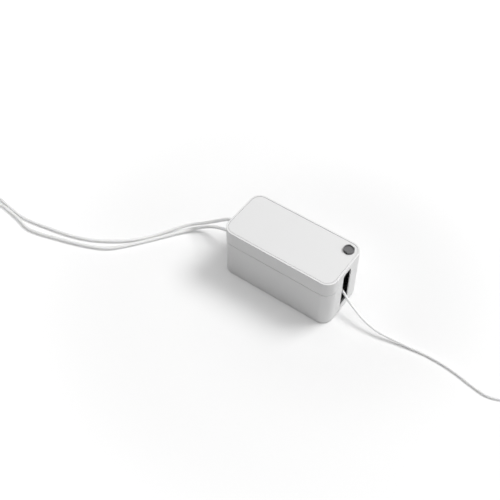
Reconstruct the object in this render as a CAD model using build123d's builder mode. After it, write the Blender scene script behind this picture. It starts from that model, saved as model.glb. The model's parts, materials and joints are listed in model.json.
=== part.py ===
from build123d import *
from math import cos, pi, radians, sin, sqrt, tan
import os

# Cable management box: a lidded case that hides a power strip, with a cable slot in each
# end and a capped cable port in the lid. Millimetres, +Z up, +X along the case towards the
# end with the port, origin on the floor under the middle of the case.

# ---------------------------------------------------------------- case sizes
LENGTH = 250.0  # along X
WIDTH = 120.0  # along Y
HEIGHT = 125.0  # floor to the top of the lid's rim
CORNER_R = 23.5  # upright corners
WALL = 2.1
BASE_T = 2.6  # tub floor
BASE_EDGE_R = 2.2  # rounding round the tub's underside
PARTING_Z = 89.7  # top of the tub's outer wall
PARTING_GAP = 1.3  # shadow line between tub and lid

LIP_T = 0.9  # tub lip that the lid drops over
LIP_H = 5.0
LIP_GAP = 0.2  # lip to skirt, all round
SEAT_GAP = 0.2  # lip top to the lid's step

TOP_T = 2.4  # lid panel under the mat
RIM_W = 3.5  # rim round the tray
RIM_H = 2.0  # rim above the lid panel
RIM_EDGE_R = 0.9

MAT_T = 1.8  # non-slip tray mat
MAT_GAP = 1.0  # groove between rim and mat
MAT_EDGE_R = 0.25

SLOT_W = 27.0  # cable slots, one in each end
SLOT_SILL_Z = 17.0
SLOT_TOP_DROP = 11.5  # slot's top below the case's top
SLOT_SILL_R = 4.0
SLOT_TOP_R = 7.0

FOOT_R = 7.0
FOOT_T = 2.2
FOOT_PROUD = 1.0
FOOT_GAP = 0.1
FOOT_INSET = 21.0  # foot centre in from the case's sides

# ---------------------------------------------------------------- cable port in the lid
PORT_END = 21.3  # port's centre in from the case's right end
PORT_SIDE = 22.9  # and from its back
PORT_R = 11.0  # hole
COLLAR_T = 2.0
COLLAR_H = 7.0  # below the lid panel
LEDGE_W = 1.6
LEDGE_T = 1.5
LEDGE_GAP_W = 9.0  # ledge left out under the cap's notches
CAP_GAP = 0.1
CAP_PROUD = 5.0  # above the mat
CAP_WALL = 2.0
CAP_TOP_T = 4.2  # dish included
CAP_DISH_D = 2.4  # finger dish in the cap's top
CAP_DISH_INSET = 1.0  # dish in from the notches
CAP_EDGE_R = 0.4
CAP_SEAT_GAP = 0.2
NOTCH_DEPTH = 1.2  # two cable notches, one on each side of the cap
NOTCH_HALF_ANGLE = 20.0
NOTCH_HEADING = 80.0  # from +X to the middle of the back notch

# ---------------------------------------------------------------- power strip
STRIP_LENGTH = 170.0
STRIP_WIDTH = 50.0
STRIP_END_GAP = 9.0  # strip in from the case's right end
STRIP_BACK_GAP = 14.0  # and from its back
STRIP_CORNER_R = 9.0
STRIP_EDGE_R = 3.0
STRIP_WALL = 2.0
STRIP_LOWER_H = 16.0
STRIP_COVER_H = 17.2
PART_GAP = 0.2  # between fitted parts of the strip
PAD_R = 5.0
PAD_T = 1.2
PAD_INSET = 21.0  # pad centre in from the strip's ends

OUTLET_COUNT = 4
CONTROL_ZONE = 31.0  # strip's left end, kept for the switch and the breaker
OUTLET_MARGIN = 3.0  # strip's right end, past the last outlet's share
OUTLET_GAP = 4.0  # between two outlets
OUTLET_R = 5.0
OUTLET_T = 6.0
FLANGE_W = 1.6
FLANGE_T = 1.6

BLADE_W = 6.35
BLADE_T = 1.5
BLADE_LEN = 17.0
BLADE_SPACING = 12.7
BLADE_DX = 4.0  # blades from the outlet's centre
EARTH_R = 2.4
EARTH_LEN = 20.0
EARTH_SPACING = 11.9  # earth pin from the blades' line
SOCKET_GAP = 0.3

RAIL_T = 0.8
RAIL_W = 6.0
EARTH_RAIL_W = 9.0
RAIL_DROP = 2.0  # live and neutral rails under the outlet faces
EARTH_RAIL_DROP = 6.0
RAIL_OVERHANG = 12.0
RIB_T = 2.0
RIB_CLEAR = 1.0  # earth rail to the ribs beside it

BOSS_R = 2.8
BOSS_INSET = 5.6  # screw axis in from the strip's sides
SCREW_R = 1.45
SCREW_GAP = 0.05
SCREW_LEN = 18.0
SCREW_HEAD_R = 2.3
SCREW_HEAD_T = 1.8

CONTROL_DX = 18.5  # switch and breaker centre in from the strip's left end
SWITCH_DY = 10.5
BREAKER_DY = -14.0
BEZEL_OVERLAP = 1.2  # bezel past the switch body
BEZEL_T = 1.4
BEZEL_R = 1.2
SWITCH_BODY_X = 12.6
SWITCH_BODY_Y = 20.4
SWITCH_BODY_H = 12.0
SWITCH_FLOOR_T = 2.0
ROCKER_W = 8.8
ROCKER_HALF = 7.6
ROCKER_GAP = 0.3
ROCKER_END_GAP = 1.2
ROCKER_RISE = 4.6  # rocker's ends above its pivot
ROCKER_DIP = 2.8  # rocker's middle above its pivot
ROCKER_T = 2.4
ROCKER_HUB_R = 2.6
ROCKER_TILT = 9.0  # at rest, switched on
PIVOT_DROP = 2.0  # pivot under the cover's top
PIVOT_R = 1.0
PIVOT_LEN = 0.9
PIVOT_GAP = 0.06

BREAKER_SIZE = 13.0
BREAKER_H = 14.0
RESET_R = 3.0
RESET_GAP = 0.2
RESET_PROUD = 2.4
RESET_DEPTH = 5.0
RESET_TRAVEL = 1.5
RESET_EDGE_R = 0.6

BOARD_X = 26.0
BOARD_Y = 40.0
BOARD_T = 1.6
BOARD_LIFT = 3.0
BOARD_POST_R = 2.0
BOARD_BOSS_GAP = 0.6
VARISTOR_COUNT = 3
VARISTOR_R = 4.5
VARISTOR_T = 4.0
VARISTOR_PITCH = 9.0
VARISTOR_DX = 6.0

# ---------------------------------------------------------------- plugs and leads
MAINS_D = 7.6
LEFT_LEAD_D = 7.2
RIGHT_LEAD_D = 5.6
RELIEF_WALL = 3.2  # strain relief's root over its cord, at the strip
FAR_RELIEF_WALL = 1.8  # at a far plug
RELIEF_TIP_WALL = 1.0
MAINS_EXIT_DY = -7.0  # mains lead's gland from the strip's middle
MAINS_EXIT_Z = 24.0
MAINS_RELIEF_LEN = 24.0
GLAND_FLANGE_W = 1.5
GLAND_FLANGE_T = 1.5

PLUG_EXIT_Z = 48.0  # leads' height where they leave the plugs in the strip
PLUG_H = 19.0
PLUG_R = 4.0
PLUG_SEAT_GAP = 0.2
LEFT_PLUG_X = 28.0
LEFT_PLUG_Y = 32.0
RIGHT_PLUG_X = 24.0
RIGHT_PLUG_Y = 26.0
PLUG_RELIEF_LEN = 20.0

MAINS_PLUG = (28.0, 26.0, 30.0)  # width, height and length of the wall plug
LEFT_CONNECTOR = (27.5, 19.5, 32.0)
RIGHT_CONNECTOR = (17.0, 11.5, 20.0)
MAINS_PLUG_RELIEF = 26.0
LEFT_CONNECTOR_RELIEF = 20.0
RIGHT_CONNECTOR_RELIEF = 16.0
NECK_SCALE = 0.8  # back of a far plug against its face
FAR_LIFT = 0.3  # far plugs above the floor
PIN_RISE = 4.5  # wall plug's blades above its middle
CONTACT_W = 4.4
CONTACT_T = 2.4
CONTACT_SPACING = 14.0
CONTACT_RISE = 4.0  # earth contact above the other two
CONTACT_DEPTH = 16.0
PIN_HOLE_R = 1.5
PIN_HOLE_SPACING = 8.6
PIN_HOLE_DEPTH = 12.0

COIL_LIFT = 1.2  # coils lie on their ties
MAINS_COIL_R = 5.6  # mean radius of a coil's turns, in cord diameters
LEFT_COIL_R = 5.4
RIGHT_COIL_R = 5.7
MAINS_LAYER_TURNS = 2  # turns in each of a coil's two layers
LEFT_LAYER_TURNS = 2
RIGHT_LAYER_TURNS = 2.5
TAIL = 4.5  # from a coil to its far plug, in cord diameters
TIE_T = 0.9
TIE_W = 10.0
TIE_GAP = 0.15

# The points that each lead follows from its strain relief to its coil.
MAINS_ROUTE = [
    (-78, 14, 24), (-93, 12.5, 26), (-109, 7.5, 31.5), (-129.1, 2.6, 38.5), (-152.2, 1.8, 39.7),
    (-176.2, 3.2, 32.3), (-199.1, 2.5, 22.5), (-220.6, -4.5, 12.7), (-239.4, -20.5, 6.7),
    (-257.6, -42.3, 4.1), (-280.2, -74.6, 3.9), (-300.4, -102.3, 3.9), (-321.4, -129.9, 3.9),
    (-348.1, -160.6, 3.9), (-388, -179.7, 3.9), (-425.2, -192.6, 3.9), (-462.9, -204, 3.9),
    (-498.8, -214.7, 3.9), (-527.3, -218.7, 3.9), (-555.4, -210.6, 3.9), (-589.2, -205.8, 3.9),
    (-623.1, -209.8, 4), (-649.1, -223.3, 4.5), (-667.1, -236.8, 5),
]
LEFT_ROUTE = [
    (-40, 21, 48), (-61, 19.5, 52), (-84, 13, 62), (-106, 5.5, 72.5), (-128.3, 3.8, 79.5),
    (-148.4, 4.3, 77), (-164.2, 4.2, 66.5), (-182.3, 0.7, 53), (-202.7, -3.8, 38.5),
    (-223.3, -9.1, 26), (-244.7, -18.6, 16.5), (-264.9, -39.6, 10.5), (-285.6, -68.1, 5),
    (-306.1, -95.7, 3.7), (-330.1, -120.7, 3.7), (-356.1, -140.7, 3.7), (-384.7, -158.8, 3.7),
    (-416.7, -172.9, 3.7), (-452.9, -183.7, 3.7), (-491, -191.1, 3.7), (-529.7, -199.3, 3.7),
    (-561.1, -201.8, 3.7), (-598.1, -196.9, 3.7), (-635, -191.4, 3.7), (-672, -186.4, 3.8),
    (-706.9, -178.9, 4.3), (-740.9, -171.3, 4.8),
]
RIGHT_ROUTE = [
    (60, 21, 48), (77, 19.8, 48.3), (94, 14.8, 47), (110, 8.5, 44.5), (124.7, 1.3, 40.5),
    (143.1, -5.3, 32.4), (160.5, -10.6, 26.2), (176.9, -14.8, 21.2), (192.3, -17.3, 17),
    (206.4, -18, 13.8), (219.8, -17.7, 11.2), (232.2, -15.9, 9.3), (244.3, -13.9, 7.8),
    (256.6, -12.2, 6.3), (281, -8.7, 4), (304.9, -5.2, 2.9), (329.6, -4.1, 2.9),
    (355.3, -5.2, 2.9), (381.7, -8.5, 2.9), (408.9, -14.2, 2.9), (434.9, -18.3, 2.9),
    (452, -16.5, 2.9), (469, -9, 3), (489, -2, 3.5), (508, 3, 4),
]

# ---------------------------------------------------------------- places that follow from the sizes
HALF_L = LENGTH / 2
HALF_W = WIDTH / 2
TUB_FLOOR_Z = FOOT_PROUD + BASE_T
PANEL_Z = HEIGHT - RIM_H  # top of the lid panel
ROOF_Z = PANEL_Z - TOP_T  # underside of the lid panel
MAT_Z = PANEL_Z + MAT_T
LID_Z = PARTING_Z + PARTING_GAP
SLOT_TOP_Z = HEIGHT - SLOT_TOP_DROP
LIP_Z = PARTING_Z + LIP_H
COLLAR_Z = ROOF_Z - COLLAR_H
CAP_R = PORT_R - CAP_GAP
NOTCH_R = CAP_R - NOTCH_DEPTH
PORT_X = HALF_L - PORT_END
PORT_Y = HALF_W - PORT_SIDE
STRIP_X = HALF_L - STRIP_END_GAP - STRIP_LENGTH / 2
STRIP_Y = HALF_W - STRIP_BACK_GAP - STRIP_WIDTH / 2
STRIP_LEFT = STRIP_X - STRIP_LENGTH / 2
STRIP_Z = TUB_FLOOR_Z + PAD_T
SPLIT_Z = STRIP_Z + STRIP_LOWER_H
STRIP_TOP = SPLIT_Z + STRIP_COVER_H
OUTLET_PITCH = (STRIP_LENGTH - CONTROL_ZONE - OUTLET_MARGIN) / OUTLET_COUNT
OUTLET_SIZE = OUTLET_PITCH - OUTLET_GAP
OUTLET_XS = [STRIP_LEFT + CONTROL_ZONE + OUTLET_PITCH * (i + 0.5) for i in range(OUTLET_COUNT)]
OUTLET_UNDER = STRIP_TOP - OUTLET_T
CONTROL_X = STRIP_LEFT + CONTROL_DX
SWITCH_Y = STRIP_Y + SWITCH_DY
BREAKER_Y = STRIP_Y + BREAKER_DY
BLADE_DY = BLADE_SPACING / 2
UNDER_COVER = STRIP_TOP - STRIP_WALL - PART_GAP  # parts held against the cover's underside
PLUG_Z = STRIP_TOP + PLUG_SEAT_GAP
GLAND_R = MAINS_D / 2 + RELIEF_WALL
GLAND_Y = STRIP_Y + MAINS_EXIT_DY

os.makedirs("parts", exist_ok=True)


def save(part, name):
    """Label a finished piece and write its STEP file."""
    part.label = name
    export_step(part, f"parts/{name}.step")


def case_outline(inset):
    """Sketch the case's plan, inset all round."""
    RectangleRounded(LENGTH - 2 * inset, WIDTH - 2 * inset, CORNER_R - inset)


# ================================================================ case
FOOT_SPOTS = {
    f"foot_{depth}_{side}": (sx * (HALF_L - FOOT_INSET), sy * (HALF_W - FOOT_INSET))
    for side, sx in (("left", -1), ("right", 1))
    for depth, sy in (("front", -1), ("back", 1))
}

with BuildPart() as base_tub:
    with BuildSketch(Plane.XY.offset(FOOT_PROUD)):
        case_outline(0)
    extrude(amount=PARTING_Z - FOOT_PROUD)
    fillet(base_tub.faces().sort_by(Axis.Z)[0].edges(), BASE_EDGE_R)
    with BuildSketch(Plane.XY.offset(PARTING_Z)):
        case_outline(WALL - LIP_T)
    extrude(amount=LIP_H)
    with BuildSketch(Plane.XY.offset(TUB_FLOOR_Z)):
        case_outline(WALL)
    extrude(amount=LIP_Z - TUB_FLOOR_Z, mode=Mode.SUBTRACT)
    slot_h = LIP_Z + 2 * SLOT_SILL_R - SLOT_SILL_Z
    with BuildSketch(Plane.YZ):
        with Locations((0, SLOT_SILL_Z + slot_h / 2)):
            RectangleRounded(SLOT_W, slot_h, SLOT_SILL_R)
    extrude(amount=LENGTH, both=True, mode=Mode.SUBTRACT)
    with BuildSketch(Plane.XY.offset(FOOT_PROUD)):
        with Locations(*FOOT_SPOTS.values()):
            Circle(FOOT_R + FOOT_GAP)
    extrude(amount=FOOT_T - FOOT_PROUD, mode=Mode.SUBTRACT)
save(base_tub.part, "base_tub")

for name, spot in FOOT_SPOTS.items():
    with BuildPart() as foot:
        with BuildSketch():
            with Locations(spot):
                Circle(FOOT_R)
        extrude(amount=FOOT_T)
        fillet(foot.edges().sort_by(Axis.Z)[0], FOOT_PROUD / 2)
    save(foot.part, name)

with BuildPart() as lid_shell:
    with BuildSketch(Plane.XY.offset(LID_Z)):
        case_outline(0)
    extrude(amount=HEIGHT - LID_Z)
    fillet(lid_shell.faces().sort_by(Axis.Z)[-1].edges(), RIM_EDGE_R)
    with BuildSketch(Plane.XY.offset(PANEL_Z)):
        case_outline(RIM_W)
    extrude(amount=RIM_H, mode=Mode.SUBTRACT)
    with BuildSketch(Plane.XY.offset(LID_Z)):
        case_outline(WALL)
    extrude(amount=ROOF_Z - LID_Z, mode=Mode.SUBTRACT)
    with BuildSketch(Plane.XY.offset(LID_Z)):
        case_outline(WALL - LIP_T - LIP_GAP)
    extrude(amount=LIP_Z + SEAT_GAP - LID_Z, mode=Mode.SUBTRACT)
    slot_h = SLOT_TOP_Z + 2 * SLOT_TOP_R - LID_Z
    with BuildSketch(Plane.YZ):
        with Locations((0, SLOT_TOP_Z - slot_h / 2)):
            RectangleRounded(SLOT_W, slot_h, SLOT_TOP_R)
    extrude(amount=LENGTH, both=True, mode=Mode.SUBTRACT)
    with BuildSketch(Plane.XY.offset(COLLAR_Z)):
        with Locations((PORT_X, PORT_Y)):
            Circle(PORT_R + COLLAR_T)
    extrude(amount=COLLAR_H)
    with BuildSketch(Plane.XY.offset(COLLAR_Z + LEDGE_T)):
        with Locations((PORT_X, PORT_Y)):
            Circle(PORT_R)
    extrude(amount=HEIGHT - COLLAR_Z, mode=Mode.SUBTRACT)
    with BuildSketch(Plane.XY.offset(COLLAR_Z)):
        with Locations((PORT_X, PORT_Y)):
            Circle(PORT_R)
            Rectangle(LEDGE_GAP_W, 2 * PORT_R, NOTCH_HEADING - 90, mode=Mode.INTERSECT)
            Circle(PORT_R - LEDGE_W)
    extrude(amount=LEDGE_T, mode=Mode.SUBTRACT)
save(lid_shell.part, "lid_shell")

with BuildPart() as tray_mat:
    with BuildSketch(Plane.XY.offset(PANEL_Z)):
        case_outline(RIM_W + MAT_GAP)
    extrude(amount=MAT_T)
    fillet(tray_mat.faces().sort_by(Axis.Z)[-1].edges(), MAT_EDGE_R)
    with BuildSketch(Plane.XY.offset(PANEL_Z)):
        with Locations((PORT_X, PORT_Y)):
            Circle(PORT_R)
    extrude(amount=MAT_T, mode=Mode.SUBTRACT)
save(tray_mat.part, "tray_mat")

CAP_Z = COLLAR_Z + LEDGE_T + CAP_SEAT_GAP
CAP_H = MAT_Z + CAP_PROUD - CAP_Z
with BuildPart() as port_cap:
    with BuildSketch(Plane.XY.offset(CAP_Z)):
        with Locations((PORT_X, PORT_Y)):
            Circle(CAP_R)
    extrude(amount=CAP_H)
    with BuildSketch(Plane.XY.offset(CAP_Z)):
        with Locations((PORT_X, PORT_Y)):
            Circle(NOTCH_R - CAP_WALL)
    extrude(amount=CAP_H - CAP_TOP_T, mode=Mode.SUBTRACT)
    for middle in (NOTCH_HEADING, NOTCH_HEADING + 180):
        with BuildSketch(Plane((PORT_X, PORT_Y, CAP_Z))):
            with BuildLine():
                inner = CenterArc((0, 0), NOTCH_R, middle - NOTCH_HALF_ANGLE, 2 * NOTCH_HALF_ANGLE)
                outer = CenterArc((0, 0), PORT_R, middle - NOTCH_HALF_ANGLE, 2 * NOTCH_HALF_ANGLE)
                Line(inner @ 0, outer @ 0)
                Line(inner @ 1, outer @ 1)
            make_face()
        extrude(amount=CAP_H, mode=Mode.SUBTRACT)
    fillet(port_cap.faces().sort_by(Axis.Z)[-1].edges(), CAP_EDGE_R)
    with BuildSketch(Plane.XY.offset(CAP_Z + CAP_H - CAP_DISH_D)):
        with Locations((PORT_X, PORT_Y)):
            Circle(NOTCH_R - CAP_DISH_INSET)
    extrude(amount=CAP_DISH_D, mode=Mode.SUBTRACT)
save(port_cap.part, "port_cap")


# ================================================================ power strip
def strip_outline(inset):
    """Sketch the strip's plan, inset all round."""
    with Locations((STRIP_X, STRIP_Y)):
        RectangleRounded(STRIP_LENGTH - 2 * inset, STRIP_WIDTH - 2 * inset, STRIP_CORNER_R - inset)


def strip_corners(inset_x, inset_y):
    """Four spots in from the strip's corners."""
    return [
        (STRIP_X + sx * (STRIP_LENGTH / 2 - inset_x), STRIP_Y + sy * (STRIP_WIDTH / 2 - inset_y))
        for sx in (-1, 1)
        for sy in (-1, 1)
    ]


BOSS_SPOTS = strip_corners(BOSS_INSET, BOSS_INSET)
RIB_XS = [x + OUTLET_PITCH / 2 for x in OUTLET_XS[:-1]]
RAIL_Z = OUTLET_UNDER - RAIL_DROP - RAIL_T
EARTH_RAIL_Z = OUTLET_UNDER - EARTH_RAIL_DROP - RAIL_T
RAIL_LEN = OUTLET_XS[-1] - OUTLET_XS[0] + 2 * RAIL_OVERHANG
RAIL_X = (OUTLET_XS[0] + OUTLET_XS[-1]) / 2
RIB_HALF = EARTH_RAIL_W / 2 + RIB_CLEAR

with BuildPart() as strip_lower_shell:
    with BuildSketch(Plane.XY.offset(STRIP_Z)):
        strip_outline(0)
    extrude(amount=STRIP_LOWER_H)
    fillet(strip_lower_shell.faces().sort_by(Axis.Z)[0].edges(), STRIP_EDGE_R / 2)
    with BuildSketch(Plane.XY.offset(STRIP_Z + STRIP_WALL)):
        strip_outline(STRIP_WALL)
    extrude(amount=STRIP_LOWER_H, mode=Mode.SUBTRACT)
    with BuildSketch(Plane.XY.offset(STRIP_Z + STRIP_WALL)):
        with Locations(*BOSS_SPOTS):
            Circle(BOSS_R)
    extrude(amount=STRIP_LOWER_H - STRIP_WALL)
    with BuildSketch(Plane.XY.offset(STRIP_Z)):
        with Locations(*BOSS_SPOTS):
            Circle(SCREW_R + PART_GAP)
    extrude(amount=STRIP_LOWER_H, mode=Mode.SUBTRACT)
    with BuildSketch(Plane.XY.offset(STRIP_Z)):
        with Locations(*BOSS_SPOTS):
            Circle(SCREW_HEAD_R + PART_GAP)
    extrude(amount=SCREW_HEAD_T + PART_GAP, mode=Mode.SUBTRACT)
    with BuildSketch(Plane.XY.offset(STRIP_Z + STRIP_WALL)):
        with Locations(*[(x, STRIP_Y) for x in RIB_XS]):
            Rectangle(RIB_T, 2 * RIB_HALF)
    extrude(amount=EARTH_RAIL_Z - PART_GAP - STRIP_Z - STRIP_WALL)
    with BuildSketch(Plane.XY.offset(STRIP_Z + STRIP_WALL)):
        with Locations(*[(x, STRIP_Y + side * (RIB_HALF + RAIL_W / 2)) for x in RIB_XS for side in (-1, 1)]):
            Rectangle(RIB_T, RAIL_W)
    extrude(amount=RAIL_Z - PART_GAP - STRIP_Z - STRIP_WALL)
    with BuildSketch(Plane.YZ.offset(STRIP_LEFT)):
        with Locations((GLAND_Y, MAINS_EXIT_Z)):
            Circle(GLAND_R + PART_GAP)
    extrude(amount=STRIP_WALL, mode=Mode.SUBTRACT)
save(strip_lower_shell.part, "strip_lower_shell")

with BuildPart() as strip_cover:
    with BuildSketch(Plane.XY.offset(SPLIT_Z)):
        strip_outline(0)
    extrude(amount=STRIP_COVER_H)
    fillet(strip_cover.faces().sort_by(Axis.Z)[-1].edges(), STRIP_EDGE_R)
    with BuildSketch(Plane.XY.offset(SPLIT_Z)):
        strip_outline(STRIP_WALL)
    extrude(amount=STRIP_COVER_H - STRIP_WALL, mode=Mode.SUBTRACT)
    with BuildSketch(Plane.XY.offset(SPLIT_Z)):
        with Locations(*BOSS_SPOTS):
            Circle(BOSS_R)
            Circle(SCREW_R + SCREW_GAP, mode=Mode.SUBTRACT)
    extrude(amount=STRIP_COVER_H - STRIP_WALL)
    with BuildSketch(Plane.XY.offset(SPLIT_Z)):
        with Locations(*[(x, STRIP_Y) for x in OUTLET_XS]):
            RectangleRounded(OUTLET_SIZE, OUTLET_SIZE, OUTLET_R)
        with Locations((CONTROL_X, SWITCH_Y)):
            Rectangle(SWITCH_BODY_X + 2 * PART_GAP, SWITCH_BODY_Y + 2 * PART_GAP)
        with Locations((CONTROL_X, BREAKER_Y)):
            Circle(RESET_R + RESET_GAP)
    extrude(amount=STRIP_COVER_H, mode=Mode.SUBTRACT)
    with BuildSketch(Plane.YZ.offset(STRIP_LEFT)):
        with Locations((GLAND_Y, MAINS_EXIT_Z)):
            Circle(GLAND_R + PART_GAP)
    extrude(amount=STRIP_WALL, mode=Mode.SUBTRACT)
save(strip_cover.part, "strip_cover")

for number, x in enumerate(OUTLET_XS, start=1):
    with BuildPart() as outlet_face:
        with BuildSketch(Plane.XY.offset(OUTLET_UNDER)):
            with Locations((x, STRIP_Y)):
                RectangleRounded(OUTLET_SIZE - 2 * PART_GAP, OUTLET_SIZE - 2 * PART_GAP, OUTLET_R - PART_GAP)
        extrude(amount=OUTLET_T)
        with BuildSketch(Plane.XY.offset(UNDER_COVER - FLANGE_T)):
            with Locations((x, STRIP_Y)):
                RectangleRounded(OUTLET_SIZE + 2 * FLANGE_W, OUTLET_SIZE + 2 * FLANGE_W, OUTLET_R)
        extrude(amount=FLANGE_T)
        with BuildSketch(Plane.XY.offset(OUTLET_UNDER)):
            with Locations((x + BLADE_DX, STRIP_Y - BLADE_DY), (x + BLADE_DX, STRIP_Y + BLADE_DY)):
                Rectangle(BLADE_W + 2 * SOCKET_GAP, BLADE_T + 2 * SOCKET_GAP)
            with Locations((x + BLADE_DX - EARTH_SPACING, STRIP_Y)):
                Circle(EARTH_R + SOCKET_GAP)
        extrude(amount=OUTLET_T, mode=Mode.SUBTRACT)
    save(outlet_face.part, f"outlet_face_{number}")

for name, dy in (("live_rail", -BLADE_DY), ("neutral_rail", BLADE_DY)):
    with BuildPart() as rail:
        with BuildSketch(Plane.XY.offset(RAIL_Z)):
            with Locations((RAIL_X, STRIP_Y + dy)):
                Rectangle(RAIL_LEN, RAIL_W)
            with Locations(*[(x + BLADE_DX, STRIP_Y + dy) for x in OUTLET_XS]):
                Rectangle(BLADE_W + 2 * SOCKET_GAP, BLADE_T + 2 * SOCKET_GAP, mode=Mode.SUBTRACT)
        extrude(amount=RAIL_T)
    save(rail.part, name)

with BuildPart() as earth_rail:
    with BuildSketch(Plane.XY.offset(EARTH_RAIL_Z)):
        with Locations((RAIL_X, STRIP_Y)):
            Rectangle(RAIL_LEN, EARTH_RAIL_W)
        with Locations(*[(x + BLADE_DX - EARTH_SPACING, STRIP_Y) for x in OUTLET_XS]):
            Circle(EARTH_R + SOCKET_GAP, mode=Mode.SUBTRACT)
    extrude(amount=RAIL_T)
save(earth_rail.part, "earth_rail")

for number, spot in enumerate(BOSS_SPOTS, start=1):
    with BuildPart() as strip_screw:
        with BuildSketch(Plane.XY.offset(STRIP_Z)):
            with Locations(spot):
                Circle(SCREW_HEAD_R)
        extrude(amount=SCREW_HEAD_T)
        with BuildSketch(Plane.XY.offset(STRIP_Z + SCREW_HEAD_T)):
            with Locations(spot):
                Circle(SCREW_R)
        extrude(amount=SCREW_LEN)
    save(strip_screw.part, f"strip_screw_{number}")

for number, spot in enumerate(strip_corners(PAD_INSET, BOSS_INSET), start=1):
    with BuildPart() as strip_pad:
        with BuildSketch(Plane.XY.offset(TUB_FLOOR_Z)):
            with Locations(spot):
                Circle(PAD_R)
        extrude(amount=PAD_T)
    save(strip_pad.part, f"strip_pad_{number}")

# ---------------------------------------------------------------- switch
PIVOT_Z = STRIP_TOP - PIVOT_DROP
PIVOT_REACH = ROCKER_W / 2 + ROCKER_GAP + PIVOT_LEN

with BuildPart() as switch_housing:
    with BuildSketch(Plane.XY.offset(STRIP_TOP)):
        with Locations((CONTROL_X, SWITCH_Y)):
            RectangleRounded(SWITCH_BODY_X + 2 * BEZEL_OVERLAP, SWITCH_BODY_Y + 2 * BEZEL_OVERLAP, BEZEL_R)
    extrude(amount=BEZEL_T)
    with BuildSketch(Plane.XY.offset(STRIP_TOP - SWITCH_BODY_H)):
        with Locations((CONTROL_X, SWITCH_Y)):
            Rectangle(SWITCH_BODY_X, SWITCH_BODY_Y)
    extrude(amount=SWITCH_BODY_H)
    with BuildSketch(Plane.XY.offset(STRIP_TOP - SWITCH_BODY_H + SWITCH_FLOOR_T)):
        with Locations((CONTROL_X, SWITCH_Y)):
            Rectangle(ROCKER_W + 2 * ROCKER_GAP, 2 * (ROCKER_HALF + ROCKER_END_GAP))
    extrude(amount=SWITCH_BODY_H, mode=Mode.SUBTRACT)
    with BuildSketch(Plane.YZ.offset(CONTROL_X)):
        with Locations((SWITCH_Y, PIVOT_Z)):
            Circle(PIVOT_R + PIVOT_GAP)
    extrude(amount=PIVOT_REACH, both=True, mode=Mode.SUBTRACT)
save(switch_housing.part, "switch_housing")

ROCKER_PLANE = Plane(
    origin=(CONTROL_X, SWITCH_Y, PIVOT_Z),
    x_dir=(0, cos(radians(ROCKER_TILT)), sin(radians(ROCKER_TILT))),
    z_dir=(1, 0, 0),
)
with BuildPart() as switch_rocker:
    with BuildSketch(ROCKER_PLANE):
        with BuildLine():
            Polyline(
                (-ROCKER_HALF, ROCKER_RISE),
                (0, ROCKER_DIP),
                (ROCKER_HALF, ROCKER_RISE),
                (ROCKER_HALF, ROCKER_RISE - ROCKER_T),
                (ROCKER_HUB_R, 0),
                (-ROCKER_HUB_R, 0),
                (-ROCKER_HALF, ROCKER_RISE - ROCKER_T),
                close=True,
            )
        make_face()
        Circle(ROCKER_HUB_R)
    extrude(amount=ROCKER_W / 2, both=True)
    with BuildSketch(ROCKER_PLANE):
        Circle(PIVOT_R)
    extrude(amount=PIVOT_REACH - ROCKER_GAP / 2, both=True)
save(switch_rocker.part, "switch_rocker")

# ---------------------------------------------------------------- breaker and surge board
with BuildPart() as breaker_body:
    with BuildSketch(Plane.XY.offset(UNDER_COVER - BREAKER_H)):
        with Locations((CONTROL_X, BREAKER_Y)):
            Rectangle(BREAKER_SIZE, BREAKER_SIZE)
    extrude(amount=BREAKER_H)
    with BuildSketch(Plane.XY.offset(UNDER_COVER - RESET_DEPTH - RESET_TRAVEL)):
        with Locations((CONTROL_X, BREAKER_Y)):
            Circle(RESET_R + RESET_GAP)
    extrude(amount=BREAKER_H, mode=Mode.SUBTRACT)
save(breaker_body.part, "breaker_body")

with BuildPart() as reset_button:
    with BuildSketch(Plane.XY.offset(UNDER_COVER - RESET_DEPTH + RESET_GAP)):
        with Locations((CONTROL_X, BREAKER_Y)):
            Circle(RESET_R)
    extrude(amount=STRIP_TOP + RESET_PROUD - UNDER_COVER + RESET_DEPTH - RESET_GAP)
    fillet(reset_button.edges().sort_by(Axis.Z)[-1], RESET_EDGE_R)
save(reset_button.part, "reset_button")

BOARD_Z = STRIP_Z + STRIP_WALL + BOARD_LIFT
with BuildPart() as surge_board:
    with BuildSketch(Plane.XY.offset(BOARD_Z)):
        with Locations((CONTROL_X, STRIP_Y)):
            Rectangle(BOARD_X, BOARD_Y)
        with Locations(*BOSS_SPOTS):
            Circle(BOSS_R + BOARD_BOSS_GAP, mode=Mode.SUBTRACT)
    extrude(amount=BOARD_T)
    with BuildSketch(Plane.XY.offset(STRIP_Z + STRIP_WALL)):
        with Locations((CONTROL_X, STRIP_Y)):
            with GridLocations(BOARD_X / 2, BOARD_Y / 2, 2, 2):
                Circle(BOARD_POST_R)
    extrude(amount=BOARD_LIFT)
save(surge_board.part, "surge_board")

for number in range(VARISTOR_COUNT):
    varistor_y = STRIP_Y + (number - (VARISTOR_COUNT - 1) / 2) * VARISTOR_PITCH
    varistor_plane = Plane(
        origin=(CONTROL_X + VARISTOR_DX, varistor_y, BOARD_Z + BOARD_T + VARISTOR_R),
        x_dir=(1, 0, 0),
        z_dir=(0, -1, 0),
    )
    with BuildPart() as varistor:
        with BuildSketch(varistor_plane):
            Circle(VARISTOR_R)
        extrude(amount=VARISTOR_T / 2, both=True)
    save(varistor.part, f"varistor_{number + 1}")


# ================================================================ plugs in the strip
def relief(root, length, diameter, wall):
    """Strain relief that tapers along the root plane's normal, from its wall over the cord to its tip."""
    with BuildPart() as tapered:
        with BuildSketch(root):
            Circle(diameter / 2 + wall)
        with BuildSketch(root.offset(length)):
            Circle(diameter / 2 + RELIEF_TIP_WALL)
        loft()
    return tapered.part


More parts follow.
